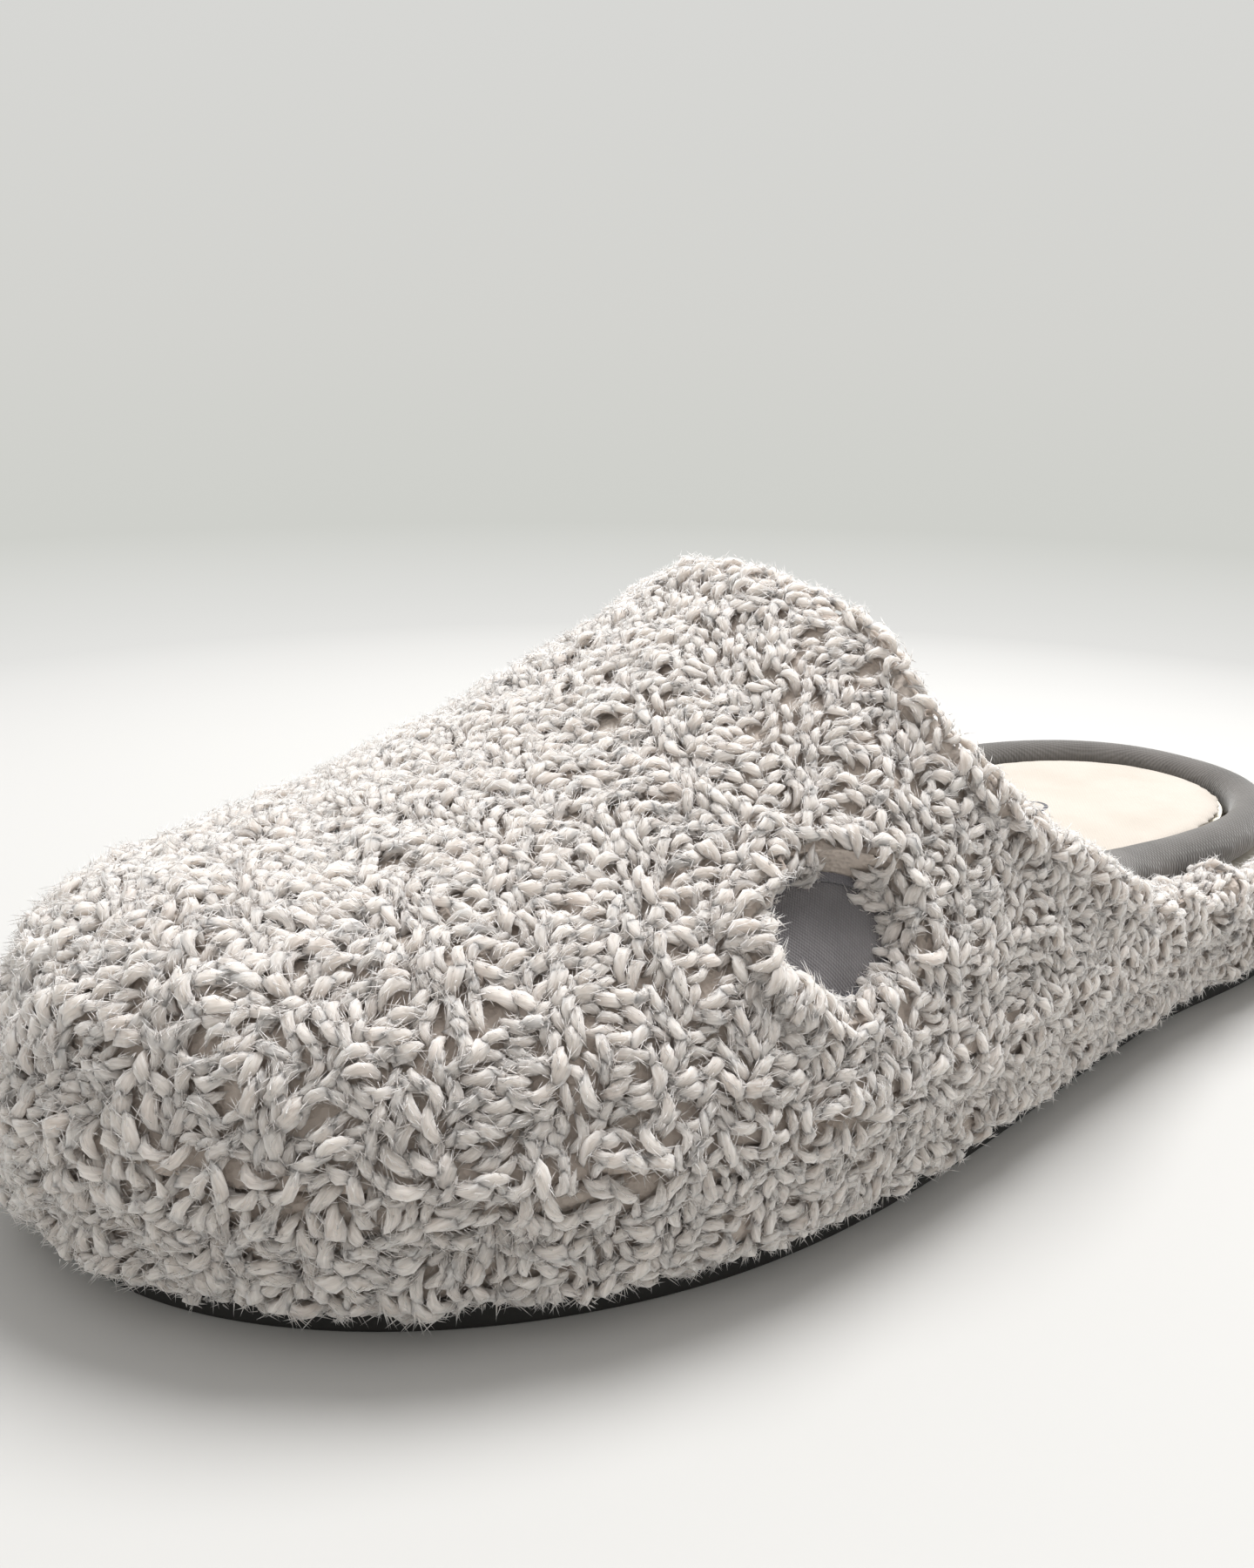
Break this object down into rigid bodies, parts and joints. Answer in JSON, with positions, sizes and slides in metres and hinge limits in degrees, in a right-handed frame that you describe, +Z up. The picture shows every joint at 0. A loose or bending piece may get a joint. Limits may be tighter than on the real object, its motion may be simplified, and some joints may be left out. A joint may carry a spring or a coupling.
{
  "type": "house slipper",
  "caption": "Left backless house slipper with a closed toe: layered upper of curly pile fabric, fabric-wrapped platform sole, padded heel collar, footbed and rubber outsole.",
  "frame": {"origin": "On the floor, under the middle of the slipper's box.", "axes": "+X points to the toe, +Y to the outer side of the left foot, +Z up."},
  "size_m": [0.278, 0.131, 0.094],
  "materials": {
    "tread_rubber": "matte",
    "midsole_foam": "matte",
    "board": "matte",
    "footbed_foam": "matte",
    "sock_fabric": "matte",
    "mark_print": "matte",
    "pile": "matte",
    "stiffener": "matte",
    "tape": "matte",
    "upper_foam": "matte",
    "lining_fabric": "matte",
    "collar_foam": "matte",
    "collar_fabric": "matte",
    "badge_felt": "matte",
    "badge_edge": "matte"
  },
  "bodies": {
    "root": {"outsole": "tread_rubber", "midsole": "midsole_foam", "insole_board": "board", "footbed_foam": "footbed_foam", "sock_lining": "sock_fabric", "sock_mark": "mark_print", "platform_wrap": "pile", "vamp_outer": "pile", "toe_puff": "stiffener", "vamp_interlining": "stiffener", "throat_tape": "tape", "vamp_foam": "upper_foam", "vamp_lining": "lining_fabric", "collar_core": "collar_foam", "collar_binding": "collar_fabric", "side_badge": "badge_felt", "badge_edging": "badge_edge"}
  },
  "joints": []
}
